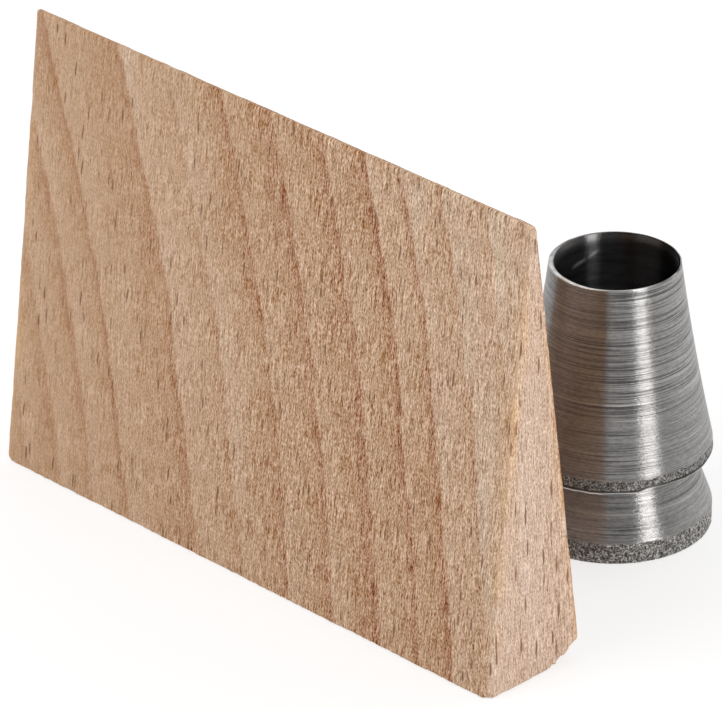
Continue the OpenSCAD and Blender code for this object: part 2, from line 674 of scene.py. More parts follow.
@dataclass(frozen=True)
class TurnedSteel:
    """Mild steel bar, turned on a lathe with a coarse feed and left bare.

    The tool leaves fine rings round the part, so light is drawn out up and down
    and stays sharp round it. Where the tool never reached, the rolled skin is
    matt, grey and grainy. The bore is smooth, and its darker colour is painted shade.
    """

    cut: str = "#A5A3A1"
    # Painted shade in the tool's grooves.
    groove_shade: str = "#6A6867"
    # Painted shade and highlight of single tool lines.
    line_shade: str = "#373534"
    line_highlight: str = "#E9E7E4"
    skin_dark: str = "#474543"
    skin: str = "#8A8784"
    skin_light: str = "#D6D3CF"
    # Painted shade: the bore's colour is darker than the cut metal's.
    bore: str = "#5A595A"
    # Bright torn burr metal on the lip, and a painted highlight on the rim round one side.
    burr: str = "#EFEDEA"
    roughness: float = 0.35
    bored_roughness: float = 0.3
    skin_roughness: float = 0.6
    burr_roughness: float = 0.3
    skin_metal: float = 0.65
    anisotropy: float = 1.0

    def material(self, ring: "RingWedge") -> bpy.types.Material:
        """Builds the material.

        Args:
            ring: The piece, whose axis places the pattern.

        Returns:
            The material, in which the tool's rings read Object coordinates.
        """
        material, tree = new_material("turned_steel")
        place = add_node(tree, "ShaderNodeTexCoord").outputs["Object"]
        spot = add_node(
            tree,
            "ShaderNodeMapping",
            Vector=place,
            Scale=(1 / MM, 1 / MM, 1 / MM),
            Location=(-ring.centre_x, -ring.centre_y, 0.0),
        ).outputs["Vector"]
        raw, bore, burr, line = (
            read_mask(tree, mask) for mask in (Mask.RAW_SKIN, Mask.BORE, Mask.BURR_AND_HIGHLIGHT, Mask.PAINTED_LIGHT_AND_STREAKS)
        )
        up = add_node(tree, "ShaderNodeSeparateXYZ", Vector=spot).outputs[2]
        rings, relief = self._tool_rings(tree, spot, up)
        chatter = noise(tree, spot, (2.2, 2.2, 8.0), detail=2.0)
        chatter = calculate(tree, "MULTIPLY_ADD", chatter, 0.6, relief)
        # The rolled skin's grains are 0.2 mm across, in clusters of 0.5 mm.
        grain = noise(tree, spot, (5.5, 5.5, 5.5), detail=3.0)
        grain = mix_numbers(tree, 0.3, grain, noise(tree, spot, (2.2, 2.2, 2.2), detail=1.0))

        colour = self._turned_colour(tree, spot, relief)
        # Painted shade: the bore takes its darker colour.
        colour = mix_colours(tree, bore, colour, self._bored_colour(tree, spot))
        # Painted shade and highlight from the tone mask: tool lines, the bore's darkened side, the
        # burr's fold and the rim.
        dark = map_range(tree, line, 0.0, -1.0, 0.0, 1.0)
        light = map_range(tree, line, 0.0, 1.0, 0.0, 1.0)
        colour = mix_colours(tree, dark, colour, linear(self.line_shade))
        colour = mix_colours(tree, light, colour, linear(self.line_highlight))
        colour = mix_colours(tree, raw, colour, self._skin_colour(tree, grain, up))
        # The burr: bright torn metal, and a painted highlight on the rim.
        colour = mix_colours(tree, burr, colour, linear(self.burr))

        rough = map_range(tree, rings, 0.3, 0.7, self.roughness + 0.06, self.roughness - 0.02)
        rough = mix_numbers(tree, bore, rough, self.bored_roughness)
        rough = mix_numbers(tree, raw, rough, self.skin_roughness)
        rough = mix_numbers(tree, burr, rough, self.burr_roughness)
        metal = mix_numbers(tree, raw, 1.0, self.skin_metal)

        fine = add_node(tree, "ShaderNodeBump", Height=chatter, Distance=0.035 * MM, Strength=1.0)
        coarse = add_node(
            tree, "ShaderNodeBump", Height=grain, Distance=0.2 * MM, Strength=raw,
            Normal=fine.outputs["Normal"],
        )
        tangent = add_node(
            tree, "ShaderNodeTangent", {"direction_type": "UV_MAP", "uv_map": UV_NAME}
        )
        shader = add_node(
            tree,
            "ShaderNodeBsdfPrincipled",
            Base_Color=colour,
            Metallic=metal,
            Roughness=rough,
            Anisotropic=self.anisotropy,
            Tangent=tangent.outputs["Tangent"],
            Normal=coarse.outputs["Normal"],
        )
        add_node(tree, "ShaderNodeOutputMaterial", Surface=shader.outputs["BSDF"])
        return material

    def _tool_rings(
        self, tree: bpy.types.NodeTree, spot: Socket, up: Socket
    ) -> tuple[Socket, Socket]:
        """Adds the rings that the turning tool left.

        They are 0.13 mm high, and each fades out some 9 mm round the part. They are
        cut twice as deep in the upper part as in the lower, in patches, and deepest
        where the tool chattered.

        Args:
            tree: Tree of the material.
            spot: Millimetres from the foot of the ring's axis.
            up: Millimetres above the foot.

        Returns:
            The rings from 0 to 1, and their relief, up and down from 0.
        """
        rings = noise(tree, spot, (0.11, 0.11, 7.5), detail=2.0)
        patches = noise(tree, spot, (0.12, 0.12, 0.3), detail=1.0)
        patches = map_range(tree, patches, 0.35, 0.6, 0.4, 1.0)
        depth = calculate(tree, "MULTIPLY", patches, map_range(tree, up, 15.0, 19.0, 0.55, 1.1))
        depth = calculate(tree, "MULTIPLY", depth, read_mask(tree, Mask.CHATTER))
        relief = calculate(tree, "MULTIPLY", calculate(tree, "SUBTRACT", rings, 0.5), depth)
        return rings, relief

    def _turned_colour(self, tree: bpy.types.NodeTree, spot: Socket, relief: Socket) -> Socket:
        """Colours the turned metal: painted shade in its grooves, and uneven along them.

        Args:
            tree: Tree of the material.
            spot: Millimetres from the foot of the ring's axis.
            relief: The tool rings' relief.

        Returns:
            The colour.
        """
        # Each ring is made of short strokes, half a millimetre long.
        strokes = noise(tree, spot, (2.0, 2.0, 5.0), detail=2.0)
        bands = noise(tree, spot, (0.05, 0.05, 1.2), detail=2.0)
        # Painted shade: the deeper a point lies in the grooves, the darker its colour.
        sunk = map_range(tree, relief, -0.13, 0.05, 1.0, 0.0)
        colour = mix_colours(tree, sunk, linear(self.cut), linear(self.groove_shade))
        colour = scale_colour(tree, colour, map_range(tree, bands, 0.3, 0.7, 0.97, 1.03))
        return scale_colour(tree, colour, map_range(tree, strokes, 0.3, 0.7, 0.84, 1.16))

    def _bored_colour(self, tree: bpy.types.NodeTree, spot: Socket) -> Socket:
        """Colours the bore darker than the cut metal, as painted shade, with the coarser rings
        that the boring tool left.

        Args:
            tree: Tree of the material.
            spot: Millimetres from the foot of the ring's axis.

        Returns:
            The colour.
        """
        bored = noise(tree, spot, (0.2, 0.2, 1.3), detail=2.0)
        bored = map_range(tree, bored, 0.35, 0.65, 0.7, 1.35)
        return scale_colour(tree, linear(self.bore)[:3], bored)

    def _skin_colour(self, tree: bpy.types.NodeTree, grain: Socket, up: Socket) -> Socket:
        """Colours the rolled skin's grains, a little darker on the upper band.

        Args:
            tree: Tree of the material.
            grain: The grains, from 0 to 1.
            up: Millimetres above the foot.

        Returns:
            The colour.
        """
        skin = add_node(tree, "ShaderNodeValToRGB", Fac=grain)
        shades = ((0.39, self.skin_dark), (0.5, self.skin), (0.62, self.skin_light))
        set_stops(skin, [(place, linear(shade)) for place, shade in shades])
        fade = map_range(tree, up, 2.5, 8.0, 1.0, 0.82)
        return scale_colour(tree, skin.outputs["Color"], fade)


@dataclass(frozen=True)
class PaperFloor:
    """Matt white background paper that glows a little, so that it shows as white."""

    colour: str = "#F6F6F5"
    seen_colour: str = "#AFAFAF"
    glow: float = 0.68
    roughness: float = 0.9

    def material(self) -> bpy.types.Material:
        """Builds the material.

        Returns:
            Plain matt paper for the light that it throws back on the pieces. Where
            it is seen, straight on or in metal, part of its white is a steady glow,
            and the rest still takes the pieces' shadows.
        """
        material, tree = new_material("background_paper")
        path = add_node(tree, "ShaderNodeLightPath").outputs
        seen = calculate(tree, "MAXIMUM", path["Is Camera Ray"], path["Is Glossy Ray"])
        seen = calculate(tree, "MAXIMUM", seen, path["Is Transmission Ray"])
        shader = add_node(
            tree,
            "ShaderNodeBsdfPrincipled",
            Base_Color=mix_colours(tree, seen, linear(self.colour), linear(self.seen_colour)),
            Roughness=self.roughness,
            Specular_IOR_Level=0.0,
            Emission_Color=linear("#FFFFFF"),
            Emission_Strength=calculate(tree, "MULTIPLY", seen, self.glow),
        )
        add_node(tree, "ShaderNodeOutputMaterial", Surface=shader.outputs["BSDF"])
        return material


# -------------------------------------------------------------- sub-assemblies


@dataclass(frozen=True)
class CornerCut:
    """A corner of the wedge that is broken off along a rough plane.

    The plane meets the three edges at the corner at the given lengths from it.
    """

    side: tuple[int, int, int]
    along: float
    through: float
    up: float
    roughness: float = 0.05


@dataclass
class WoodenWedge:
    """The sawn wedge: a box lattice pressed into a wedge, with soft broken edges."""

    length: float
    height: float
    base_thickness: float
    edge_thickness: float = 0.6
    edge_radius: float = 0.2
    cuts: tuple[CornerCut, ...] = (
        CornerCut((1, 1, -1), 6.0, 4.9, 2.2, 0.2),
        CornerCut((1, -1, -1), 1.2, 1.0, 1.2),
        CornerCut((1, -1, 1), 0.65, 5.0, 0.8),
        CornerCut((-1, -1, -1), 0.8, 0.8, 0.8),
    )

    @classmethod
    def from_frame(cls) -> "WoodenWedge":
        """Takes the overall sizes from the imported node's box.

        Returns:
            The wedge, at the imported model's size.
        """
        low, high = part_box("wooden_wedge")
        size = (high - low) / MM
        return cls(length=size.x, height=size.z, base_thickness=size.y)

    def half_thickness(self, z: Array) -> Array:
        """Half the wedge's thickness at a height: a straight line, base to edge."""
        base, edge = self.base_thickness / 2, self.edge_thickness / 2
        return base + (edge - base) * z / self.height

    def build(self) -> bpy.types.Object:
        """Makes the mesh.

        The shell of a box lattice of stations (x, s, z) is carried to
        (x, s times the half thickness at z, z). Points nearer than a radius r to
        two or three faces are drawn onto a round: the point moves in by what it
        lacks to r from each face, and back out by r along that same direction.
        Broken corners and the sawn relief come after that.

        Returns:
            The piece, with its masks.
        """
        along = graded(self.length, edge=1.2, fine=9, coarse=276) - self.length / 2
        share = graded(2.0, edge=0.14, fine=6, coarse=30) - 1.0
        up = graded(self.height, edge=1.2, fine=8, coarse=82)
        lattice, quads, corners = box_shell(len(along) - 1, len(share) - 1, len(up) - 1)
        x, s, z = along[lattice[:, 0]], share[lattice[:, 1]], up[lattice[:, 2]]
        half = self.half_thickness(z)
        points = np.stack([x, s * half, z], axis=-1)
        gap = np.stack(
            [self.length / 2 - abs(x), half * (1 - abs(s)), np.minimum(z, self.height - z)], -1
        )
        side = np.stack([np.sign(x), np.sign(s), np.where(z < self.height / 2, -1.0, 1.0)], -1)
        wander = lattice_noise(points, (1.5, 1.5, 2.5), 11)
        radius = np.minimum(self.edge_radius * (1 + 0.5 * wander), 0.92 * half)[:, None]
        lack = np.maximum(radius - gap, 0.0)
        size = np.linalg.norm(lack, axis=-1, keepdims=True)
        outward = side * lack / size
        points = points + outward * (radius - size)
        edge_gap = np.sort(gap, axis=-1)[:, 1]
        points = self._relief(points, outward, edge_gap, half)
        for cut in self.cuts:
            points = self._break_corner(points, cut)
        masks = self._masks(points, edge_gap)
        uv = self._colour_map(along, share, up, corners)
        return make_piece("beech_wedge", points, quads, uv, masks)

    def _relief(self, points: Array, outward: Array, edge_gap: Array, half: Array) -> Array:
        """Sinks the sawn surface by slow waves, fibre bundles and ragged edges.

        Args:
            points: Vertices in mm.
            outward: Unit vectors out of the surface.
            edge_gap: Distance of each vertex to the nearest edge.
            half: Half the wedge's thickness at each vertex.

        Returns:
            The sunk vertices. Depths are 0.03 mm of waves, 0.01 mm of fibres at the
            far end and 0.02 mm at the near one, and 0.12 mm of tears that fade to a
            third 0.35 mm from an edge, all less where the wedge is thin.
        """
        rough = smooth_step(points[:, 0], -20.0, self.length / 2)
        waves = 0.5 + 0.5 * lattice_noise(points, (9.0, 4.0, 16.0), 3)
        fibres = 0.5 + 0.5 * lattice_noise(points, (0.5, 0.5, 1.9), 5)
        ragged = 0.5 + 0.5 * lattice_noise(points, (0.45, 0.45, 1.1), 7)
        near_edge = np.exp(-edge_gap / 0.35)
        depth = 0.03 * waves + (0.01 + 0.01 * rough) * fibres + 0.12 * ragged * near_edge
        room = np.minimum(1.0, half / 1.5)
        return points - outward * (depth * room)[:, None]

    def _break_corner(self, points: Array, cut: CornerCut) -> Array:
        """Presses what stands outside a cut's plane back onto it, with torn fibres.

        Args:
            points: Vertices in mm.
            cut: The broken corner.

        Returns:
            The vertices, moved where the corner is gone.
        """
        side = np.array(cut.side, dtype=float)
        z_corner = 0.0 if cut.side[2] < 0 else self.height
        half = float(self.half_thickness(np.array(z_corner)))
        corner = np.array([cut.side[0] * self.length / 2, cut.side[1] * half, z_corner])
        normal = side / np.array([cut.along, cut.through, cut.up])
        scale = np.linalg.norm(normal)
        normal /= scale
        torn = cut.roughness * lattice_noise(points, (0.5, 0.5, 1.2), 19)
        over = (points - corner) @ normal + 1.0 / scale + torn
        return points - np.maximum(over, 0.0)[:, None] * normal

    def _masks(self, points: Array, edge_gap: Array) -> dict[Mask, Array]:
        """Marks the end faces, the back with its painted shade, and the edges with a painted
        highlight.

        Args:
            points: Vertices in mm.
            edge_gap: Distance of each vertex to the nearest edge.

        Returns:
            The three marks, from 0 to 1.
        """
        reach = abs(points[:, 0]) - self.length / 2
        side_gap = self.half_thickness(points[:, 2]) - abs(points[:, 1])
        upright = np.exp(-((np.maximum(-reach, side_gap) / 0.9) ** 2))
        upright *= 1 - smooth_step(points[:, 2], self.height - 16.0, self.height - 2.0)
        patches = np.clip(0.5 + 0.5 * lattice_noise(points, (1.2, 1.2, 3.0), 23), 0.0, 1.0)
        # Painted highlight: strongest along the upright edges between the broad faces and the
        # ends, fading towards the thin edge, and weaker along all edges, in patches.
        edge_light = (0.7 * upright + 0.25 * np.exp(-((edge_gap / 0.4) ** 2))) * patches
        # The back takes painted shade.
        back = smooth_step(points[:, 1], 0.0, 0.3) * smooth_step(-side_gap, -0.4, -0.1)
        return {
            Mask.END_FACE: smooth_step(reach, -0.55, -0.1),
            Mask.EDGE_HIGHLIGHT: edge_light,
            Mask.BACK_FACE: back,
        }

    def _colour_map(self, along: Array, share: Array, up: Array, corners: Array) -> Array:
        """Lays the six sides next to each other on the colour map, in true size.

        Args:
            along: Stations along the wedge, in mm.
            share: Stations through it, from -1 to 1.
            up: Stations up it, in mm.
            corners: For each face corner, its side's number and lattice place.

        Returns:
            The place of each face corner, from 0 to 1.
        """
        margin, sheet = 1.0, 118.0
        across = (share + 1) * self.base_thickness / 2
        x = (along + self.length / 2)[corners[:, 1]]
        y, z = across[corners[:, 2]], up[corners[:, 3]]
        tall, thick = self.height + 2 * margin, self.base_thickness + 2 * margin
        wide = self.length + 2 * margin
        places = [
            (y + wide, z),
            (y + wide, z + tall),
            (x, z),
            (x, z + tall),
            (y + wide + thick, x),
            (x, y + 2 * tall),
        ]
        u = np.select([corners[:, 0] == side for side in range(6)], [p[0] for p in places])
        v = np.select([corners[:, 0] == side for side in range(6)], [p[1] for p in places])
        return (np.stack([u, v], axis=-1) + margin) / sheet


def box_shell(nx: int, ny: int, nz: int) -> tuple[Array, Array, Array]:
    """The shell of a box of lattice cells, with shared edges and corners.

    Args:
        nx: Cells along X.
        ny: Cells along Y.
        nz: Cells along Z.

    Returns:
        The lattice place of each vertex, the four vertices of each face turning
        left seen from outside, and for each face corner its side's number (0 to 5,
        as -X, +X, -Y, +Y, -Z, +Z) followed by its lattice place.
    """
    numbers = np.full((nx + 1, ny + 1, nz + 1), -1)
    shell = np.ones(numbers.shape, dtype=bool)
    shell[1:-1, 1:-1, 1:-1] = False
    numbers[shell] = np.arange(shell.sum())
    lattice = np.argwhere(shell)
    quads, sides = [], []
    for axis in range(3):
        for end in (0, 1):
            sheet = np.take(numbers, end * (numbers.shape[axis] - 1), axis=axis)
            cells = [sheet[:-1, :-1], sheet[1:, :-1], sheet[1:, 1:], sheet[:-1, 1:]]
            faces = np.stack(cells, axis=-1).reshape(-1, 4)
            if (end == 1) == (axis == 1):
                faces = faces[:, ::-1]
            quads.append(faces)
            sides.append(np.full(faces.size, 2 * axis + end))
    faces = np.concatenate(quads)
    corners = np.column_stack([np.concatenate(sides), lattice[faces.ravel()]])
    return lattice, faces, corners


class RingPart(Enum):
    """Parts of the ring's profile, each worked out in its own way.

    BASE is a flat underside, CUT the outside with its tapers and raw bands, LIP the
    barb's torn edge, CORNER the edge of the foot, and THROAT an edge of the bore.
    """

    BASE = 0
    CUT = 1
    LIP = 2
    RIM = 3
    BORE = 4
    CORNER = 5
    THROAT = 6


@dataclass
class RingWedge:
    """The turned ring: one closed profile carried once round its axis."""

    centre_x: float
    centre_y: float
    bar_radius: float
    height: float
    bore_radius: float
    rim_width: float = 0.45
    base_band: float = 2.2
    barb_z: float = 8.3
    taper_foot: float = 9.27
    neck_radius: float = 7.8
    taper_hollow: float = 0.2
    # How far inside the bar the rolled skin's mean surface lies.
    skin_depth: float = 0.05
    # How far the bore's end runs off the axis, and towards which angle in degrees.
    rim_shift: float = 0.06
    rim_shift_angle: float = 58.0
    # How much the bore opens at its mouth, and the middle of the side that doesn't.
    flare: float = 0.2
    plain_angle: float = 240.0
    # How much higher the barb's edge lies on one side, and that side's middle.
    edge_lift: float = 0.33
    edge_lift_angle: float = 36.0
    # Where the rim's painted highlight is brightest, and where the tool chattered most, with the
    # tool lines' painted shade and highlight strongest.
    rim_highlight_angle: float = 290.0
    chatter_and_painted_light_angle: float = 320.0
    # Tones of the painted shade on the bore's +Y side and on the rim away from its highlight, -1
    # for dark.
    bore_shade_tone: float = -0.8
    rim_shade_tone: float = -0.45
    columns: int = 240
    underside_rows: int = 8
    # Single tool lines: height and half width in mm, and -1 for the darkest painted shade to 1 for
    # the brightest painted highlight.
    lines: tuple[tuple[float, float, float], ...] = (
        (26.9, 0.05, -0.31),
        (26.3, 0.06, 0.22),
        (25.7, 0.08, -0.56),
        (25.1, 0.06, -0.31),
        (24.5, 0.06, -0.5),
        (23.8, 0.05, 0.25),
        (23.2, 0.06, -0.37),
        (22.4, 0.06, -0.31),
        (21.5, 0.06, 0.5),
        (20.7, 0.06, -0.37),
        (20.0, 0.05, -0.31),
        (19.0, 0.06, 0.43),
        (18.2, 0.05, -0.25),
        (17.2, 0.06, 0.43),
        (15.9, 0.06, -0.5),
        (15.6, 0.05, 0.31),
        (13.6, 0.05, -0.25),
        (12.2, 0.05, 0.19),
        (10.3, 0.06, 0.37),
        (6.9, 0.06, 0.19),
        (5.6, 0.08, -0.5),
        (5.1, 0.06, 0.43),
        (4.3, 0.06, -0.25),
    )

    # Bright streaks: first angle and sweep in degrees, depth and fall in mm, and strength.
    bright_streaks: tuple[tuple[float, float, float, float, float], ...] = (
        (162.0, 17.0, 2.55, 0.55, 1.5),
        (149.0, 13.0, 1.75, 0.8, 0.35),
    )

    @classmethod
    def from_frame(cls) -> "RingWedge":
        """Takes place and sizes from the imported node's box and its bore mount.

        Returns:
            The ring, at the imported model's place and size.
        """
        low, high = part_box("ring_wedge")
        bore = next(m for m in frame["record"]["mounts"] if m["name"] == "ring_bore")
        middle = (low + high) / 2 / MM
        return cls(
            centre_x=middle.x,
            centre_y=middle.y,
            bar_radius=(high.x - low.x) / 2 / MM,
            height=high.z / MM,
            bore_radius=bore["dims"]["r_mm"],
        )

    def build(self) -> bpy.types.Object:
        """Makes the mesh.

        Rows of the profile run from the bore's foot out over the base, up the
        outside, over the rim and back down the bore, and each is carried round
        the axis. Outside, the radius is the smaller of the raw bar's and of the
        cut taper's, so the raw skin ends where the tool came out of it.

        Returns:
            The piece, with its masks.
        """
        radius, z, kind = self._profile()
        turn = np.linspace(0.0, 2 * np.pi, self.columns, endpoint=False)
        theta = np.repeat(turn[None, :], len(z), axis=0)
        is_kind = {part: (kind == part.value)[:, None] for part in RingPart}
        cut, lip = is_kind[RingPart.CUT], is_kind[RingPart.LIP]
        height = self._lifted(theta, np.repeat(z[:, None], self.columns, axis=1), kind)
        marks = self._tool_marks(theta, height)
        skin = self._skin_radius(theta, height)
        turned = radius[:, None] + marks
        r = np.where(cut, np.minimum(turned, skin), radius[:, None])
        raw = np.where(cut, smooth_step(turned - skin, 0.0, 0.015), 0.0)
        raw = np.where(is_kind[RingPart.CORNER], 1.0, raw)
        bore = is_kind[RingPart.BORE] | is_kind[RingPart.THROAT]
        rim = is_kind[RingPart.RIM]
        inner_rim = rim & (r < self.bore_radius + 0.1)
        r = r + self._mouth(theta, height) * (bore | inner_rim)
        # Near the rim the bore runs off the axis, so the rim's width varies.
        near_rim = smooth_step(height, self.height - 6.0, self.height - 1.0)
        shift = self.rim_shift * near_rim * bore
        shift_angle = math.radians(self.rim_shift_angle)
        x = r * np.cos(theta) + shift * math.cos(shift_angle)
        y = r * np.sin(theta) + shift * math.sin(shift_angle)
        points = np.stack([x + self.centre_x, y + self.centre_y, height], axis=-1)
        ones = np.ones_like(r)
        # Painted shade: the burr's upper half lies in its own fold, and is darkened there.
        gap = np.where(lip, 1 - smooth_step(self.barb_z - z[:, None], 0.35, 0.6), 0.0) * ones
        burr_highlight = self._burr_and_highlight(theta, lip)
        # Painted shade: the side of the bore nearest +Y is darkened.
        tone = self.bore_shade_tone * bore * smooth_step(np.sin(theta), 0.6, 1.0)
        # Painted shade and highlight of single tool lines.
        tone = tone + self._tool_lines(theta, height, cut)
        # Bright slanting streaks a little way down the bore.
        tone = tone + self._bright_streaks(theta, height, bore)
        # Painted shade in the burr's fold and on the rim away from its painted highlight.
        tone = tone - gap + self.rim_shade_tone * rim * (1 - burr_highlight)
        masks = {
            Mask.RAW_SKIN: raw,
            # Painted shade: the bore's darker colour sets in just below its mouth.
            Mask.BORE: is_kind[RingPart.BORE] * smooth_step(self.height - height, -1.2, 1.4),
            Mask.BURR_AND_HIGHLIGHT: (lip | rim) * ones * burr_highlight * (1 - gap),
            Mask.PAINTED_LIGHT_AND_STREAKS: tone,
            Mask.CHATTER: self._chatter_and_painted_light(theta) * ones,
        }
        rows = len(z)
        number = np.arange(rows * self.columns).reshape(rows, self.columns)
        above = np.roll(number, -1, axis=0)
        quads = np.stack([number, np.roll(number, -1, 1), np.roll(above, -1, 1), above], -1)
        uv = self._colour_map(radius, z)
        return make_piece("steel_ring", points.reshape(-1, 3), quads.reshape(-1, 4), uv, masks)

    def _profile(self) -> tuple[Array, Array, Array]:
        """Lists the profile's rows.

        Returns:
            Radius, height and part of each row, in order round the closed outline.
            On the raw bands the radius stands for the tool's path, which passes
            outside the bar there.
        """
        bar, bore, top = self.bar_radius, self.bore_radius, self.height
        rim = bore + self.rim_width
        skin, past, soft = bar - self.skin_depth, 0.1, 0.08
        clear = bar + past
        # Both tapers go on past the bar at their own slopes until they clear it.
        fall = (bar - self.neck_radius) / (self.barb_z - self.base_band)
        band_top = self.base_band - past / fall
        before = -past / (bar - rim + 4 * self.taper_hollow)
        t = np.linspace(before, 1.0, 250, endpoint=False)
        taper = bar + (rim - bar) * t - 4 * self.taper_hollow * t * (1 - t)
        climb = self.taper_foot + (top - self.taper_foot) * t
        edge = self.barb_z
        # Each stretch: radius and height at its start and at its end, rows and part.
        stretches = (
            (bore + soft, 0.0, skin - 0.12, 0.0, 8, RingPart.BASE),
            (skin - 0.12, 0.0, skin, 0.12, 3, RingPart.CORNER),
            (clear, 0.14, clear, band_top, 18, RingPart.CUT),
            (clear, band_top, self.neck_radius, edge, 60, RingPart.CUT),
            (self.neck_radius, edge, skin - 0.2, edge, self.underside_rows, RingPart.BASE),
            (skin - 0.2, edge, skin - 0.12, edge - 1.0, 2, RingPart.LIP),
            (skin - 0.06, edge - 1.0, skin + 0.05, edge - 0.7, 2, RingPart.LIP),
            (skin + 0.05, edge - 0.4, skin + 0.03, edge + 0.3, 2, RingPart.LIP),
            (clear, edge + 0.09, clear, climb[0], 8, RingPart.CUT),
            (rim, top - 0.05, rim - 0.05, top, 2, RingPart.RIM),
            (rim - 0.05, top, bore + 0.05, top, 3, RingPart.RIM),
            (bore + 0.05, top, bore, top - 0.05, 2, RingPart.THROAT),
            (bore, top - 0.05, bore, top - 6.0, 30, RingPart.BORE),
            (bore, top - 6.0, bore, soft, 12, RingPart.BORE),
            (bore, soft, bore + soft, 0.0, 1, RingPart.THROAT),
        )
        parts = []
        for r0, z0, r1, z1, rows, part in stretches:
            share = np.linspace(0.0, 1.0, rows, endpoint=False)
            label = np.full(rows, part.value)
            parts.append((r0 + (r1 - r0) * share, z0 + (z1 - z0) * share, label))
            if z1 == climb[0]:
                parts.append((taper, climb, np.full(len(t), RingPart.CUT.value)))
        radius, z, kind = (np.concatenate([part[i] for part in parts]) for i in range(3))
        return radius, z, kind

    def _lifted(self, theta: Array, height: Array, kind: Array) -> Array:
        """Bends the barb's lower edge: up on one side, and torn downward as a burr.

        The barb's edge lies lift above its nominal height. The underside follows
        it outward, and the raw band above takes it up again. In the lip's rows a
        height counted down from the edge is a share of the burr's drop.

        Args:
            theta: Angle of each point round the axis.
            height: Height of each point.
            kind: The part that each row belongs to.

        Returns:
            The bent heights.
        """
        lift = self._edge_lift(theta)
        # The band's rows lie between the edge's own and the taper's first ones.
        edge_rows, taper_rows = self.barb_z + 0.04, self.taper_foot - 0.47
        band = (height > edge_rows) & (height < taper_rows)
        fade = 1 - (height - self.barb_z) / (taper_rows - self.barb_z)
        lifted = np.where(band, height + lift * fade, height)
        lip = (kind == RingPart.LIP.value)[:, None]
        share = self.barb_z - height
        lifted = np.where(lip, self.barb_z + lift - share * self._burr_drop(theta), lifted)
        underside = (kind == RingPart.BASE.value)[:, None] & (height > 1.0)
        out = np.cumsum(underside[:, 0])[:, None] / self.underside_rows
        return np.where(underside, height + lift * np.clip(out, 0.0, 1.0), lifted)

    def _edge_lift(self, theta: Array) -> Array:
        """Lifts the barb's edge on one side, and makes it uneven by 0.05 mm all round.

        Args:
            theta: Angle of each point round the axis.

        Returns:
            How far the edge lies above its nominal height.
        """
        middle = math.radians(self.edge_lift_angle)
        # The raised side is level up to the first angle from its middle.
        level_to, ends = 1.08, 1.2
        sector = smooth_step(np.cos(theta - middle), math.cos(ends), math.cos(level_to))
        wheel = around(theta, 10.0, np.zeros_like(theta))
        return self.edge_lift * sector + 0.05 * lattice_noise(wheel, (1.6, 1.6, 1.0), 67)

    def _mouth(self, theta: Array, height: Array) -> Array:
        """Opens the bore at its mouth, on all sides but one.

        Args:
            theta: Angle of each point round the axis.
            height: Height of each point.

        Returns:
            How much further out each point lies.
        """
        side = np.cos(theta - math.radians(self.plain_angle))
        opened = self.flare * (1 - smooth_step(side, 0.6, 0.95))
        return opened * smooth_step(height, self.height - 0.8, self.height)

    def _burr_drop(self, theta: Array) -> Array:
        """Tears the lip under the barb unevenly.

        Args:
            theta: Angle of each point round the axis.

        Returns:
            How far the lip hangs below the barb, from 0.23 to 0.55 mm.
        """
        wheel = around(theta, 10.0, np.zeros_like(theta))
        slow = 0.5 + 0.5 * lattice_noise(wheel, (2.5, 2.5, 3.0), 59)
        quick = 0.5 + 0.5 * lattice_noise(wheel, (0.5, 0.5, 0.5), 61)
        return 0.23 + 0.18 * slow + 0.14 * quick * slow

    def _burr_and_highlight(self, theta: Array, lip: Array) -> Array:
        """Finds how much bright burr colour the lip and the rim take: torn metal, and a painted
        highlight.

        Args:
            theta: Angle of each point round the axis.
            lip: Whether each row belongs to the lip.

        Returns:
            Shares from 0 to 1: torn patches on the lip, duller where it is lifted,
            and on the rim longer ones, with a painted highlight brightest round one angle.
        """
        wheel = around(theta, 10.0, np.zeros_like(theta))
        near = smooth_step(np.cos(theta - math.radians(self.rim_highlight_angle)), 0.2, 0.9)
        patches = 0.2 + 0.75 * near + 0.3 * lattice_noise(wheel, (1.5, 1.5, 1.0), 71)
        torn = 0.8 + 0.75 * lattice_noise(wheel, (0.8, 0.8, 1.0), 73)
        torn = torn * (1 - 2.5 * np.clip(self._edge_lift(theta), 0.0, 0.3))
        return np.where(lip, np.clip(torn, 0.1, 1.0), np.clip(patches, 0.0, 1.0))

    def _skin_radius(self, theta: Array, height: Array) -> Array:
        """Shapes the rolled bar: a little oval, and pitted by 0.04 mm either way.

        Args:
            theta: Angle of each point round the axis.
            height: Height of each point.

        Returns:
            The radius of the bar's skin at each point.
        """
        wheel = around(theta, self.bar_radius, height)
        pits = 0.6 * lattice_noise(wheel, (0.5, 0.5, 0.5), 31)
        pits += 0.4 * lattice_noise(wheel, (0.25, 0.25, 0.25), 37)
        oval = 0.015 * np.cos(2 * theta + 0.8) + 0.02 * lattice_noise(wheel, (7.0, 7.0, 9.0), 41)
        return self.bar_radius - self.skin_depth + 0.04 * pits + oval

    def _tool_marks(self, theta: Array, height: Array) -> Array:
        """Cuts the tool's coarser rings: noise in height that hardly varies round.

        Args:
            theta: Angle of each point round the axis.
            height: Height of each point.

        Returns:
            How far out each point moves: from 0 to -0.02 mm in the upper part, and
            about a third of that in the lower.
        """
        wheel = around(theta, 9.0, height)
        upper = smooth_step(height, 15.0, 19.0)
        strong = (0.35 + 0.65 * upper) * (0.7 + 0.3 * lattice_noise(wheel, (9.0, 9.0, 3.0), 43))
        wide = lattice_noise(wheel, (30.0, 30.0, 0.6), 47)
        narrow = lattice_noise(wheel, (14.0, 14.0, 0.2), 53)
        return -strong * (0.004 + 0.004 * wide + 0.006 + 0.006 * narrow)

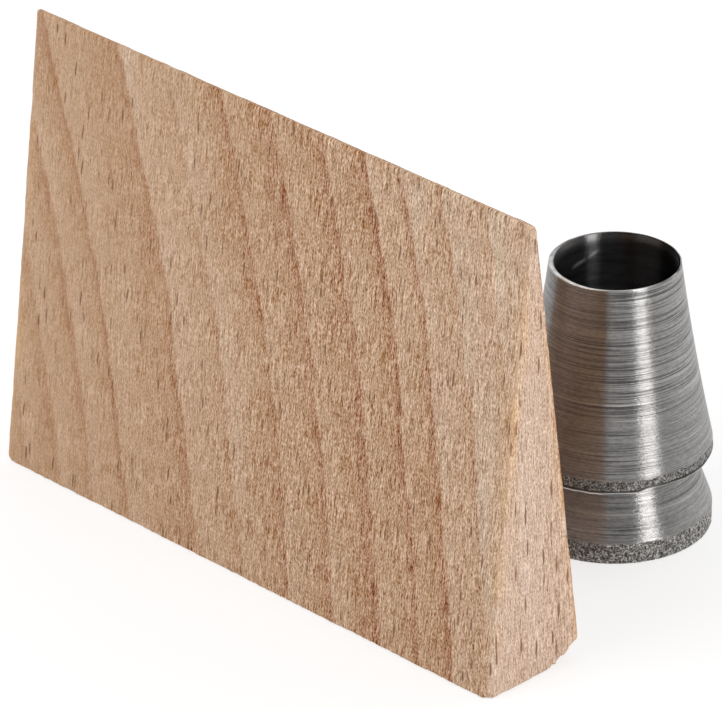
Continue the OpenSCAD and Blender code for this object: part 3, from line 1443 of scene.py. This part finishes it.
    def _tool_lines(self, theta: Array, height: Array, cut: Array) -> Array:
        """Paints shade on single grooves and a highlight on single ridges, each in broken lengths.

        Args:
            theta: Angle of each point round the axis.
            height: Height of each point.
            cut: Whether each row is turned metal.

        Returns:
            Tones from -1 for the darkest painted shade in the grooves to 1 for the brightest
            painted highlight on the ridges.
        """
        wheel = around(theta, 9.0, height)
        total = np.zeros_like(height)
        contrast = 1.3
        for number, (z, width, strength) in enumerate(self.lines):
            broken = lattice_noise(wheel, (6.0, 6.0, 4.0), 80 + number)
            wander = 0.06 * lattice_noise(wheel, (8.0, 8.0, 8.0), 120 + number)
            ridge = np.exp(-(((height - z - wander) / width) ** 2))
            total += contrast * strength * ridge * smooth_step(broken, -0.5, 0.4)
        return np.clip(total * self._chatter_and_painted_light(theta), -1.0, 1.0) * cut

    def _chatter_and_painted_light(self, theta: Array) -> Array:
        """Finds how deep the tool bit round the part: it chattered on one side. The tool lines'
        painted shade and highlight are scaled by the same share.

        Args:
            theta: Angle of each point round the axis.

        Returns:
            A share: 0.65, plus 1.1 on a bell 22 degrees wide round one angle, plus
            0.5 over the 54 degrees that follow the bell, across the seam at 0.
        """
        turn = np.degrees(theta)
        half_width = 11.0
        bell = np.exp(-(((turn - self.chatter_and_painted_light_angle) / half_width) ** 2))
        # Past the bell it sets in between the first two angles, and dies away
        # between the other two.
        rises, falls = (340.0, 352.0), (30.0, 50.0)
        after = smooth_step(turn, *rises) + 1 - smooth_step(turn, *falls)
        return 0.65 + 1.1 * bell + 0.5 * after

    def _bright_streaks(self, theta: Array, height: Array, bore: Array) -> Array:
        """Marks bright slanting streaks a little way down the bore.

        Args:
            theta: Angle of each point round the axis.
            height: Height of each point.
            bore: Whether each row belongs to the bore.

        Returns:
            Tones from 0 to each streak's strength.
        """
        total = np.zeros_like(height)
        half_width = 0.18
        for start, sweep, top, fall, strength in self.bright_streaks:
            share = (np.degrees(theta) - start) / sweep
            off = self.height - height - top - fall * share
            near = np.exp(-((off / half_width) ** 2))
            total += strength * near * np.sin(np.pi * np.clip(share, 0.0, 1.0))
        return total * bore

    def _colour_map(self, radius: Array, z: Array) -> Array:
        """Unrolls the ring: the way along its profile runs along U, the turn along V.

        Args:
            radius: Radius of each row of the profile.
            z: Height of each row.

        Returns:
            The place of each face corner, from 0 to 1.
        """
        step = np.hypot(np.diff(radius, append=radius[0]), np.diff(z, append=z[0]))
        along = np.concatenate([[0.0], np.cumsum(step)]) / step.sum()
        u0, u1 = along[:-1, None], along[1:, None]
        v0 = (np.arange(self.columns) / self.columns)[None, :]
        v1 = v0 + 1 / self.columns
        corners = [(u0, v0), (u0, v1), (u1, v1), (u1, v0)]
        shape = (len(z), self.columns)
        uv = [np.stack([np.broadcast_to(c, shape) for c in corner], -1) for corner in corners]
        return np.stack(uv, axis=-2).reshape(-1, 2)


# --------------------------------------------------------------------- studio


@dataclass(frozen=True)
class Panel:
    """A soft light panel, aimed at the pieces. Its lengths are in metres."""

    name: str
    azimuth: float
    elevation: float
    distance: float
    width: float
    tall: float
    radiance: float


@dataclass
class Studio:
    """White floor, soft panels round the pieces, plain world and the camera."""

    # The camera's aim, its direction and roll in degrees, its distance and its lens.
    target: tuple[float, float, float] = (2.69, 8.12, 20.70)
    azimuth: float = 46.18
    elevation: float = 27.53
    roll: float = -0.70
    distance: float = 694.1
    lens: float = 347.6
    # The light of the dim room and of the pale wall.
    room_level: float = 0.25
    wall_level: float = 1.25
    # The pale wall's azimuth in degrees, and the ramp's ends, as the cosine to it.
    wall_azimuth: float = 190.0
    wall_ramp: tuple[float, float] = (-0.05, 0.9)
    panels: tuple[Panel, ...] = (
        Panel("key_strip", 89.0, 15.0, 0.62, 0.2, 0.48, 6.05),
        Panel("front_fill", -25.0, 38.0, 0.9, 0.7, 0.6, 2.95),
    )

    def direction(self, azimuth: float, elevation: float) -> Vector:
        """Finds the way from the pieces towards a place in the studio.

        Args:
            azimuth: Degrees from -Y, turning towards +X.
            elevation: Degrees above the floor.

        Returns:
            The unit vector.
        """
        turn, rise = math.radians(azimuth), math.radians(elevation)
        flat = math.cos(rise)
        return Vector((math.sin(turn) * flat, -math.cos(turn) * flat, math.sin(rise)))

    def build(self) -> None:
        """Makes floor, world, panels and camera."""
        self._floor()
        self._world()
        for panel in self.panels:
            self._panel(panel)
        self._camera()

    def _floor(self) -> None:
        """Lays the paper just under the pieces, as one wide quad."""
        reach, drop = 3.0, -0.02 * MM
        signs = ((-1, -1), (1, -1), (1, 1), (-1, 1))
        corners = [(x * reach, y * reach, drop) for x, y in signs]
        mesh = bpy.data.meshes.new("floor")
        mesh.from_pydata(corners, [], [(0, 1, 2, 3)])
        floor = bpy.data.objects.new("floor", mesh)
        floor.data.materials.append(PaperFloor().material())
        bpy.context.scene.collection.objects.link(floor)

    def _world(self) -> None:
        """Fills the room with light that rises from the dim room to a pale wall behind.

        The level is a straight ramp over the cosine of the angle to the wall.
        """
        world = bpy.data.worlds.new("studio")
        world.use_nodes = True
        tree = world.node_tree
        tree.nodes.clear()
        way = add_node(tree, "ShaderNodeTexCoord").outputs["Generated"]
        behind = tuple(self.direction(self.wall_azimuth, 0.0))
        facing = add_node(
            tree, "ShaderNodeVectorMath", {"operation": "DOT_PRODUCT"}, i0=way, i1=behind
        )
        cosine = facing.outputs["Value"]
        level = map_range(tree, cosine, *self.wall_ramp, self.room_level, self.wall_level)
        light = add_node(tree, "ShaderNodeBackground", Color=linear("#FFFFFF"), Strength=level)
        add_node(tree, "ShaderNodeOutputWorld", Surface=light.outputs[0])
        bpy.context.scene.world = world

    def _panel(self, panel: Panel) -> None:
        """Hangs one panel. Its power is its radiance times pi times its area.

        Args:
            panel: The panel's place, size and radiance.
        """
        lamp = bpy.data.lights.new(panel.name, "AREA")
        lamp.shape = "RECTANGLE"
        lamp.size, lamp.size_y = panel.width, panel.tall
        lamp.energy = panel.radiance * math.pi * panel.width * panel.tall
        holder = bpy.data.objects.new(panel.name, lamp)
        towards = self.direction(panel.azimuth, panel.elevation)
        holder.location = Vector(self.target) * MM + towards * panel.distance
        holder.rotation_euler = towards.to_track_quat("Z", "Y").to_euler()
        holder.visible_camera = False
        bpy.context.scene.collection.objects.link(holder)

    def _camera(self) -> None:
        """Sets up the long-lens camera, turned a little about its own axis."""
        camera = bpy.data.cameras.new("camera")
        camera.lens = self.lens
        camera.clip_start, camera.clip_end = 0.05, 20.0
        holder = bpy.data.objects.new("camera", camera)
        back = self.direction(self.azimuth, self.elevation)
        place = Matrix.Translation(Vector(self.target) * MM + back * self.distance * MM)
        aim = (-back).to_track_quat("-Z", "Y").to_matrix().to_4x4()
        tilt = Matrix.Rotation(math.radians(self.roll), 4, "Z")
        holder.matrix_world = place @ aim @ tilt
        bpy.context.scene.collection.objects.link(holder)
        bpy.context.scene.camera = holder


def main() -> None:
    """Builds, dresses and places every piece, then the studio."""
    wedge = WoodenWedge.from_frame()
    beech_wedge = wedge.build()
    beech_wedge.data.materials.append(SawnBeech().material(wedge))
    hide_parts("wooden_wedge")
    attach(beech_wedge, "wooden_wedge_body")
    LOG.info("%s: %d faces", beech_wedge.name, len(beech_wedge.data.polygons))

    ring = RingWedge.from_frame()
    steel_ring = ring.build()
    steel_ring.data.materials.append(TurnedSteel().material(ring))
    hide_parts("ring_wedge")
    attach(steel_ring, "ring_wedge_body")
    LOG.info("%s: %d faces", steel_ring.name, len(steel_ring.data.polygons))

    Studio().build()
    bpy.context.scene.view_settings.view_transform = "Standard"


if __name__ == "__main__":
    logging.basicConfig(level=logging.INFO)
    main()
